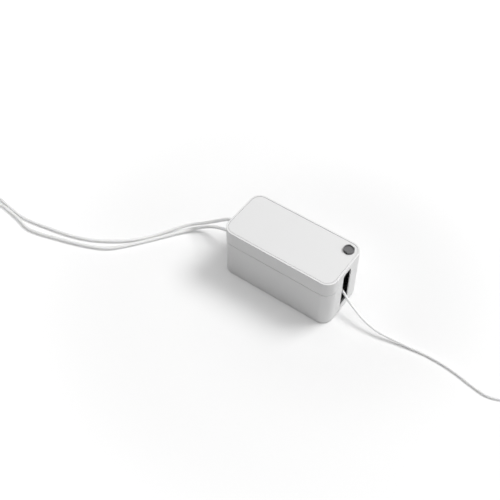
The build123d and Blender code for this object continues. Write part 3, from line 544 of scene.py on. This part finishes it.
def skin(name, rings, slot, body="case", loop=False, uv=None):
    """A piece from a stack of rings, quads between neighbours. Rings turn anticlockwise seen
    from the end that the stack runs to. The last ring joins the first, or both ends get a
    fan."""
    stations, around = rings.shape[:2]
    rows = np.arange(stations if loop else stations - 1)
    i, j = np.meshgrid(rows, np.arange(around), indexing="ij")
    ahead, beside = (i + 1) % stations, (j + 1) % around
    corners = ((i, j), (i, beside), (ahead, beside), (ahead, j))
    faces = np.stack([a * around + b for a, b in corners], -1).reshape(-1, 4).tolist()
    points = rings.reshape(-1, 3)
    if not loop:
        first, last = stations * around, stations * around + 1
        points = np.vstack((points, rings[0].mean(0), rings[-1].mean(0)))
        ring = np.arange(around)
        after = (ring + 1) % around
        top = (stations - 1) * around
        faces += np.column_stack((np.full(around, first), after, ring)).tolist()
        faces += np.column_stack((np.full(around, last), top + ring, top + after)).tolist()
    mesh = bpy.data.meshes.new(name)
    mesh.from_pydata(points.tolist(), [], faces)
    if uv is not None:
        flat = np.vstack((uv.reshape(-1, 2), np.zeros((len(points) - stations * around, 2))))
        used = np.empty(len(mesh.loops), dtype=np.int32)
        mesh.loops.foreach_get("vertex_index", used)
        mesh.uv_layers.new(name="UVMap").data.foreach_set("uv", flat[used].ravel())
    mesh.shade_smooth()
    mesh.set_sharp_from_angle(angle=SHARP_EDGE)
    return added(name, mesh, slot, body)


def leftward(heading):
    """The level direction to the left of a heading."""
    return np.array((-heading[1], heading[0], 0.0))


def set_along(outlines, distance, mouth, heading):
    """Outlines set across a heading: mouth + distance * heading + wide * left + high * up."""
    middle = mouth + np.asarray(distance)[:, None] * heading
    across = outlines[..., :1] * leftward(heading) + outlines[..., 1:] * UP
    return middle[:, None, :] + across


print("skins are shaded sharp from", round(SHARP_EDGE, 2), "rad")

# %% [markdown]
# ### Ribbed sleeves
# Where a lead leaves a plug or a gland, a ribbed sleeve keeps it from kinking, and a
# connector has finger ribs to pull it by. The ribs stand on a plain tapering solid, so their
# size follows its taper. Both ends of a sleeve dip under the solid's skin, so no edge shows.

# %% Ribbed sleeves
SLEEVE_AROUND = 40
RIB_STATIONS = 12
SLEEVE_DIP = 0.25  # depth of a sleeve's ends under the solid's skin, in mm


def ribs_at(turns):
    """Ribs with flat tops and flat grooves: 1.8 * sine + 0.6, clipped to 0..1."""
    return np.clip(1.8 * np.sin(2 * pi * turns) + 0.6, 0, 1)


def ribbed(
    name, mouth, heading, start, length, first, last, ribs, height, cover=0.15,
    slot="plug_white",
):
    """Ribs on a tapering solid, from start on for a length, both from the mouth. Size: the
    taper from first to last, + cover, + height * ribs. All of it in mm but the mouth."""
    share = np.linspace(0, 1, ribs * RIB_STATIONS + 1)
    sizes = np.array(first) + share[:, None] * (np.array(last) - np.array(first))
    proud = cover + height * ribs_at(ribs * share - 0.25)
    proud[0] = proud[-1] = -SLEEVE_DIP
    sizes = (sizes + proud[:, None]) * MM
    outlines = rounded_outline(sizes[:, 0], sizes[:, 1], sizes[:, 2], SLEEVE_AROUND)
    rings = set_along(outlines, (start + share * length) * MM, mouth, np.array(heading))
    return skin(name, rings, slot)


def round_size(radius):
    """A circle as an outline's three sizes."""
    return (radius, radius, radius)


mains_pieces = [
    ribbed("gland_sleeve", mains_end["start"], (1, 0, 0), start=0.8, length=20.5,
           first=round_size(4.87), last=round_size(6.75), ribs=6, height=0.45,
           slot="strip_black"),
    ribbed("mains_plug_sleeve", mains_end["mouth"], mains_end["heading"], start=0.8, length=23,
           first=round_size(4.82), last=round_size(5.53), ribs=7, height=0.45),
]
left_pieces = [
    ribbed("left_plug_sleeve", left_end["start"], (1, 0, 0), start=0.8, length=17,
           first=round_size(4.69), last=round_size(6.56), ribs=5, height=0.45),
    ribbed("left_connector_sleeve", left_end["mouth"], left_end["heading"], start=0.8,
           length=17.5, first=round_size(4.63), last=round_size(5.33), ribs=5, height=0.4),
    ribbed("left_connector_grip", left_end["mouth"], left_end["heading"], start=25, length=16,
           first=(11.43, 8.1, 4.05), last=(12.8, 9.08, 4.53), ribs=6, height=0.35, cover=0.05),
]
right_pieces = [
    ribbed("right_plug_sleeve", right_end["start"], (-1, 0, 0), start=0.8, length=17,
           first=round_size(3.89), last=round_size(5.76), ribs=5, height=0.4),
    ribbed("right_connector_sleeve", right_end["mouth"], right_end["heading"], start=0.6,
           length=14, first=round_size(3.83), last=round_size(4.53), ribs=5, height=0.35),
    ribbed("right_connector_grip", right_end["mouth"], right_end["heading"], start=18.5,
           length=10, first=(7.01, 4.74, 2.37), last=(7.86, 5.31, 2.66), ribs=5, height=0.25,
           cover=0.05),
]

# %% [markdown]
# ## The wall plug
# A wall plug is moulded round the cord: a waist behind its face, soft shoulders, a rounded
# rim at the face. It replaces the plain solid. Its outlines come from a short table of
# distance, half width, half height and corner radius, with straight lines between its rows,
# which lie close together where a shoulder or the rim is round. Finger ribs stand on the
# waist.

# %% Wall plug
PLUG_ROWS = np.array([
    (24.5, 5.4, 5.4, 5.4), (26.0, 7.2, 7.0, 5.4), (26.6, 9.6, 9.0, 5.4),
    (27.8, 11.0, 10.2, 5.3), (31.0, 11.6, 10.8, 5.4), (40.0, 12.2, 11.3, 5.8),
    (50.0, 13.5, 12.5, 6.3), (54.2, 14.0, 13.0, 6.5), (55.4, 13.9, 12.9, 6.5),
    (55.9, 13.4, 12.4, 6.2), (56.0, 12.7, 11.7, 5.8),
])
PLUG_LEN = 56.0  # from the cord's mouth to the plug's face
PLUG_AROUND = 64
GRIP_FROM, GRIP_TO = 32.5, 48.0  # the stretch with finger ribs
GRIP_FADE = 0.5
GRIP_PITCH = 3.0
GRIP_HEIGHT = 0.45

shoulder, waist, rim = np.linspace(24.5, 31, 14), np.linspace(31.4, 54, 60), PLUG_ROWS[7:, 0]
station = np.concatenate((shoulder, waist, rim))
columns = [np.interp(station, PLUG_ROWS[:, 0], PLUG_ROWS[:, c]) for c in (1, 2, 3)]
grip = ribs_at((station - GRIP_FROM - GRIP_FADE) / GRIP_PITCH)
grip *= np.clip((station - GRIP_FROM) / GRIP_FADE, 0, 1)
grip *= np.clip((GRIP_TO - station) / GRIP_FADE, 0, 1)
plug_size = (np.stack(columns, -1) + GRIP_HEIGHT * grip[:, None]) * MM
plug_outlines = rounded_outline(*plug_size.T, PLUG_AROUND)
plug_rings = set_along(plug_outlines, station * MM, mains_end["mouth"], mains_end["heading"])
wall_plug = skin("mains_plug_shell", plug_rings, "plug_white")
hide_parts("mains_plug_body")
mains_pieces.append(wall_plug)

# %% [markdown]
# The sleeve of the wall plug needs a plain tapering stem under it, because its solid is
# replaced with the plug's. The stem is the same kind of skin with four stations.

# %% Stem under the sleeve
STEM_AT = (0.0, 0.01, 25.0, 26.5)  # distances from the cord's mouth, in mm
STEM_RADIUS = (3.6, 4.8, 5.6, 5.6)


def turned(name, at, radius, around, root, slot):
    """A round piece along the wall plug's heading: a circle of some radius at each distance
    from its root, in mm."""
    radius = np.array(radius) * MM
    outlines = rounded_outline(radius, radius, radius, around)
    rings = set_along(outlines, np.array(at) * MM, root, mains_end["heading"])
    return skin(name, rings, slot)


stem_skin = turned(
    "mains_plug_stem", STEM_AT, STEM_RADIUS, SLEEVE_AROUND, mains_end["mouth"], "plug_white"
)
mains_pieces.append(stem_skin)

# %% [markdown]
# ### Blades and earth pin
# A blade is stamped from strip with a locking hole near its tip, so it is a flat band
# between its outline and the hole, given its thickness by Solidify and its soft stamped
# edge by Bevel. The earth pin is turned, so it is a stack of circles with a domed tip.

# %% Blades and pin
BLADE_LEN = 17.0  # from the plug's face; these sizes are in mm
BLADE_ROOT = 0.6  # the length behind the face
BLADE_WIDE = 6.35
BLADE_THICK = 1.5
BLADE_CORNER = 1.3
BLADE_SPACING = 12.7
BLADE_EDGE = 0.18
BLADE_AROUND = 48
HOLE_AT = 13.6
HOLE_RADIUS = 1.55
PIN_RISE = 4.5  # of the blades above the plug's middle
EARTH_SPACING = 11.9  # of the earth pin below the blades
PIN_AT = (-0.6, 0.0, 17.4, 18.6, 19.3, 19.8, 20.0)
PIN_RADIUS = (2.4, 2.4, 2.4, 2.15, 1.7, 1.0, 0.3)
PIN_AROUND = 40
plug_face = mains_end["mouth"] + PLUG_LEN * MM * mains_end["heading"]


def blade(name, side):
    """A flat blade beside the plug's middle: the band from a rounded outline to a hole."""
    heading = mains_end["heading"]
    half = (BLADE_LEN + BLADE_ROOT) / 2
    edge = one_outline(half, BLADE_WIDE / 2, BLADE_CORNER, BLADE_AROUND)
    hole = one_outline(*round_size(HOLE_RADIUS), BLADE_AROUND)
    flat = np.vstack((edge + (half - BLADE_ROOT, 0.0), hole + (HOLE_AT, 0.0))) * MM
    beside = side * BLADE_SPACING / 2 * MM * leftward(heading)
    root = plug_face + beside + PIN_RISE * MM * UP
    points = root + flat[:, :1] * heading + flat[:, 1:] * UP
    ring = np.arange(BLADE_AROUND)
    after = (ring + 1) % BLADE_AROUND
    faces = np.column_stack((ring, after, BLADE_AROUND + after, BLADE_AROUND + ring)).tolist()
    mesh = bpy.data.meshes.new(name)
    mesh.from_pydata(points.tolist(), [], faces)
    piece = added(name, mesh, "pin_nickel", "case")
    plate = piece.modifiers.new("thickness", "SOLIDIFY")
    plate.thickness = BLADE_THICK * MM
    plate.offset = 0
    soft = piece.modifiers.new("stamped_edge", "BEVEL")
    soft.width = BLADE_EDGE * MM
    soft.segments = 2
    return piece


for word, side in (("live", -1), ("neutral", 1)):
    piece = blade(f"mains_plug_{word}_contact", side)
    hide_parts(f"mains_plug_{word}_blade")
    mains_pieces.append(piece)
pin_root = plug_face + (PIN_RISE - EARTH_SPACING) * MM * UP
earth_pin = turned(
    "mains_plug_earth_contact", PIN_AT, PIN_RADIUS, PIN_AROUND, pin_root, "pin_nickel"
)
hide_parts("mains_plug_earth_pin")
mains_pieces.append(earth_pin)

# %% [markdown]
# ## Ties
# Each coil is held by a strap of hook-and-loop tape that goes once round both layers and
# laps over itself on top. Its middle line is a rounded rectangle followed by its length, so
# the strap can run on past a full lap; the last bit rises by one thickness and lies on the
# first. A flat outline is carried along that line, and the map for the weave is in metres.

# %% Tie straps
TIE_WIDE = 10.0  # these sizes are in mm
TIE_THICK = 0.9
TIE_EDGE = 0.3  # how round its edges are
TIE_GAP = 0.15  # between the cord and the strap
TIE_CLEAR = 0.05  # between the strap and its own end
TIE_RISE = 6.0  # length over which the end climbs on to the lap below it
TIE_STATIONS = 220
TIE_AROUND = 16
CORNER_POINTS = 13
CORNER_SIGNS = np.array(((1, 1), (-1, 1), (-1, -1), (1, -1)))


def tie_strap(name, coil):
    """A strap round a coil. Line: corner middle(s) + (corner radius + lift(s)) * normal(s),
    where s is the length along a rounded rectangle and lift is a smooth step of one
    thickness."""
    diameter = coil["diameter"] / MM
    wide = (coil["layer_turns"] + 1) * diameter
    middle = coil["turn_radius"] * diameter
    inside = middle - wide / 2
    bulge = inside - (inside**2 - (TIE_WIDE / 2) ** 2) ** 0.5
    corner = diameter / 2 - TIE_THICK / 2
    core_x = wide / 2 + TIE_GAP + bulge + TIE_THICK / 2 - corner
    core_z = diameter + TIE_GAP + TIE_THICK / 2 - corner
    angle = np.concatenate([np.linspace(q, q + 1, CORNER_POINTS) * pi / 2 for q in range(4)])
    core = np.repeat(CORNER_SIGNS * (core_x, core_z), CORNER_POINTS, axis=0)
    line = core + corner * np.column_stack((np.cos(angle), np.sin(angle)))
    line = np.vstack((line, line[:1]))
    length = np.concatenate(((0,), np.cumsum(np.hypot(*np.diff(line, axis=0).T))))
    lap = length[-1]
    start = length[CORNER_POINTS - 1] + core_x / 2
    s = start + np.linspace(0, lap + core_x, TIE_STATIONS)
    at = s % lap
    angle_at = np.interp(at, length, np.append(angle, 2 * pi))
    closed = np.vstack((core, core[:1]))
    core_at = np.column_stack([np.interp(at, length, closed[:, c]) for c in (0, 1)])
    rise = np.clip((s - (start + lap - TIE_RISE)) / TIE_RISE, 0, 1)
    lift = (TIE_THICK + TIE_CLEAR) * smooth(rise)
    heading = coil["heading"]
    left = leftward(heading)
    centre = np.array((*coil["centre"], COIL_LIFT + diameter * MM)) + left * middle * MM
    normal = np.cos(angle_at)[:, None] * left + np.sin(angle_at)[:, None] * UP
    corner_at = core_at[:, :1] * left + core_at[:, 1:] * UP
    path = centre + MM * (corner_at + (corner + lift)[:, None] * normal)
    sizes = [np.full(len(s), size * MM) for size in (TIE_THICK / 2, TIE_WIDE / 2, TIE_EDGE)]
    flat = rounded_outline(*sizes, TIE_AROUND)
    rings = path[:, None, :] + flat[..., :1] * normal[:, None, :] - flat[..., 1:] * heading
    uv = np.stack((np.repeat(s[:, None] * MM, TIE_AROUND, axis=1), flat[..., 1]), -1)
    return skin(name, rings, "tie_strap", uv=uv)


for stem, coil, pieces in (
    ("mains_lead", mains_end, mains_pieces),
    ("left_lead", left_end, left_pieces),
    ("right_lead", right_end, right_pieces),
):
    tie = tie_strap(stem + "_strap", coil)
    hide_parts(stem + "_tie")
    pieces.append(tie)

# %% [markdown]
# ## The pieces on the leads
# Each lead's pieces are gathered in one list: the frame's nodes that belong to it, and
# the pieces made for it above.

def starting(*words):
    """The frame's nodes whose names start with one of these words."""
    return [nodes[n] for n in sorted(nodes) if n.startswith(words)]


mains_pieces = starting("mains_relief") + mains_pieces
left_pieces = starting("left_plug", "left_connector") + left_pieces
right_pieces = starting("right_plug", "right_connector") + right_pieces
print("pieces on the leads:", len(mains_pieces), len(left_pieces), len(right_pieces))

# %% [markdown]
# ## The power strip's face
# Round each outlet and round the reset button the cover has a fine moulded bead. A bead is
# a small circle carried round a rounded rectangle, so its skin joins up in both ways.

# %% Beads
STRIP_TOP = 38.0  # height of the cover; these sizes are in mm
STRIP_Y = 21.0
OUTLET_XS = (-6.0, 28.0, 62.0, 96.0)
RESET_AT = (-35.5, 7.0)
BEAD_AROUND = 72
BEAD_FACETS = 10


def bead(name, middle, half, corner, thick):
    """A round bead round a rounded square on a level face, in mm: path + thick * (cos * normal
    - sin * up)."""
    angle = normal_angles(BEAD_AROUND)
    level = np.zeros(BEAD_AROUND)
    normal = np.column_stack((np.cos(angle), np.sin(angle), level))
    path = np.column_stack((one_outline(half, half, corner, BEAD_AROUND), level))
    around = np.arange(BEAD_FACETS) * 2 * pi / BEAD_FACETS
    out, down = np.cos(around)[None, :, None], np.sin(around)[None, :, None]
    rings = (path + middle)[:, None, :] + thick * (out * normal[:, None, :] - down * UP)
    skin(name, rings * MM, "strip_black", loop=True)


for number, x in enumerate(OUTLET_XS, start=1):
    at = (x, STRIP_Y, STRIP_TOP - 0.35)
    bead(f"outlet_bead_{number}", at, half=16.0, corner=6.0, thick=0.5)
bead("reset_bead", (*RESET_AT, STRIP_TOP - 0.1), half=4.4, corner=4.4, thick=0.6)

# %% [markdown]
# ### Marks on the rocker
# The rocker carries the usual line for on and ring for off, inlaid in its two slopes. Each
# is worked out flat on its slope, then turned with the rocker, so it tips with it.

# %% Rocker marks
PIVOT = np.array((-35.5, 31.5, 36.0))  # these sizes are in mm
TILT = radians(9.0)
ROCKER_DIP = 2.8  # the rocker's top above its pivot, at its middle
ROCKER_END = 4.6  # and at its ends
ROCKER_HALF = 7.6
SLOPE = np.arctan2(ROCKER_END - ROCKER_DIP, ROCKER_HALF)
MARK_AT = 4.4  # from the dip up a slope to the mark's middle
MARK_AROUND = 40
MARK_FACETS = 8
MARK_WIDE = 0.22  # half the width of the inlaid line
MARK_DEEP = 0.12  # and half its depth
MARK_PROUD = 0.02  # of its middle above the slope


def on_slope(points, side):
    """Points (x, along the slope, above it) on one half of the rocker, turned into place."""
    tip = TILT + side * SLOPE
    along = np.array((0.0, cos(tip), sin(tip)))
    above = np.array((0.0, -sin(tip), cos(tip)))
    across = np.array((1.0, 0.0, 0.0))
    dip = PIVOT + ROCKER_DIP * np.array((0.0, -sin(TILT), cos(TILT)))
    flat = points[..., :1] * across + points[..., 1:2] * along
    return (dip + flat + points[..., 2:] * above) * MM


def mark(name, half_x, half_y, corner, side):
    """A thin bead in a rounded outline on one slope; a slim outline reads as a line."""
    path = one_outline(half_x, half_y, corner, MARK_AROUND)
    angle = normal_angles(MARK_AROUND)
    around = np.arange(MARK_FACETS) * 2 * pi / MARK_FACETS
    wide = MARK_WIDE * np.cos(around)[None, :]
    x = path[:, :1] + wide * np.cos(angle)[:, None]
    y = side * MARK_AT + path[:, 1:] + wide * np.sin(angle)[:, None]
    z = np.repeat(MARK_PROUD - MARK_DEEP * np.sin(around)[None, :], MARK_AROUND, axis=0)
    points = on_slope(np.stack((x, y, z), -1), side)
    skin(name, points, "mark_white", body="switch_rocker", loop=True)


mark("rocker_off_ring", half_x=1.3, half_y=1.3, corner=1.3, side=-1)
mark("rocker_on_line", half_x=0.16, half_y=1.4, corner=0.16, side=1)

# %% [markdown]
# ## Floor and light
# The box stands on a plain pale sheet. A bare sheet turns grey where the lamps fall off, so
# camera, glossy and transmission rays also get a small glow from it, which grows with the
# distance from the lamps' brightest spot until the sheet is white. The shadow stays,
# because near the box the glow is faint.

# %% Floor
FLOOR_HALF = 6.0
FLOOR_WHITE = (0.87, 0.87, 0.87, 1)
GLOW_STEPS = ((0.14, 0.42, 0.06, 0.15), (0.38, 1.7, 0.0, 0.85))  # from, to (m), glow at each
GLOW_LABELS = ("From Min", "From Max", "To Min", "To Max")
GLOW_MIDDLE = (0.09, 0.07, 0.0)  # the lamps' brightest spot on the sheet


def looking(tree):
    """1 for camera, glossy and transmission rays, 0 for the rays that carry light."""
    ray = add(tree, "LightPath")
    seen = calc(tree, "MAXIMUM", ray.outputs["Is Camera Ray"], ray.outputs["Is Glossy Ray"])
    return calc(tree, "MAXIMUM", seen, ray.outputs["Is Transmission Ray"])


floor_mesh = bpy.data.meshes.new("floor")
corners = np.array(((-1, -1, 0), (1, -1, 0), (1, 1, 0), (-1, 1, 0))) * FLOOR_HALF
floor_mesh.from_pydata(corners.tolist(), [], [(0, 1, 2, 3)])
floor = bpy.data.objects.new("floor", floor_mesh)
bpy.context.scene.collection.objects.link(floor)
paper = bpy.data.materials.new("floor_paper")
paper.use_nodes = True
tree = paper.node_tree
shader = tree.nodes["Principled BSDF"]
shader.inputs["Base Color"].default_value = FLOOR_WHITE
shader.inputs["Roughness"].default_value = 0.9
shader.inputs["Specular IOR Level"].default_value = 0.0
shader.inputs["Emission Color"].default_value = (1, 1, 1, 1)
away = add(tree, "VectorMath", operation="DISTANCE")
away.inputs[1].default_value = GLOW_MIDDLE
tree.links.new(add(tree, "TexCoord").outputs["Object"], away.inputs[0])
growth = []
for values in GLOW_STEPS:
    step = add(tree, "MapRange", interpolation_type="SMOOTHSTEP")
    for label, value in zip(GLOW_LABELS, values):
        step.inputs[label].default_value = value
    tree.links.new(away.outputs["Value"], step.inputs["Value"])
    growth.append(step.outputs["Result"])
glow = calc(tree, "ADD", *growth)
tree.links.new(calc(tree, "MULTIPLY", looking(tree), glow), shader.inputs["Emission Strength"])
floor_mesh.materials.append(paper)
print("floor glow", GLOW_STEPS)

# %% [markdown]
# A large soft lamp stands behind the box on its right, high up, so the top is the brightest
# face, the right end gets some of it and the long front lies in its own shade. The sky is
# an even pale world, faint as a light and white to look at, in glossy reflections too.

# %% Light
SKY_LIGHT = 0.15

world = bpy.data.worlds.new("studio")
bpy.context.scene.world = world
world.use_nodes = True
tree = world.node_tree
sky = tree.nodes["Background"]
sky.inputs["Color"].default_value = (1, 1, 1, 1)
strength = calc(tree, "MULTIPLY_ADD", looking(tree), 1.0 - SKY_LIGHT, SKY_LIGHT)
tree.links.new(strength, sky.inputs["Strength"])


def softbox(name, direction, distance, size, power):
    """A square area lamp that shines on the box from a direction; metres and watts."""
    lamp = bpy.data.lights.new(name, "AREA")
    lamp.size = size
    lamp.energy = power
    holder = bpy.data.objects.new(name, lamp)
    aim = Vector(direction).normalized()
    holder.location = aim * distance
    holder.rotation_euler = aim.to_track_quat("Z", "Y").to_euler()
    bpy.context.scene.collection.objects.link(holder)


softbox("key", (0.42, 0.52, 1.0), distance=6.0, size=2.45, power=216)
softbox("right_fill", (1.0, 0.1, 0.45), distance=5.0, size=2.5, power=16)
softbox("top_fill", (0.0, 0.0, 1.0), distance=5.0, size=4.2, power=96)
bpy.context.scene.view_settings.view_transform = "Standard"
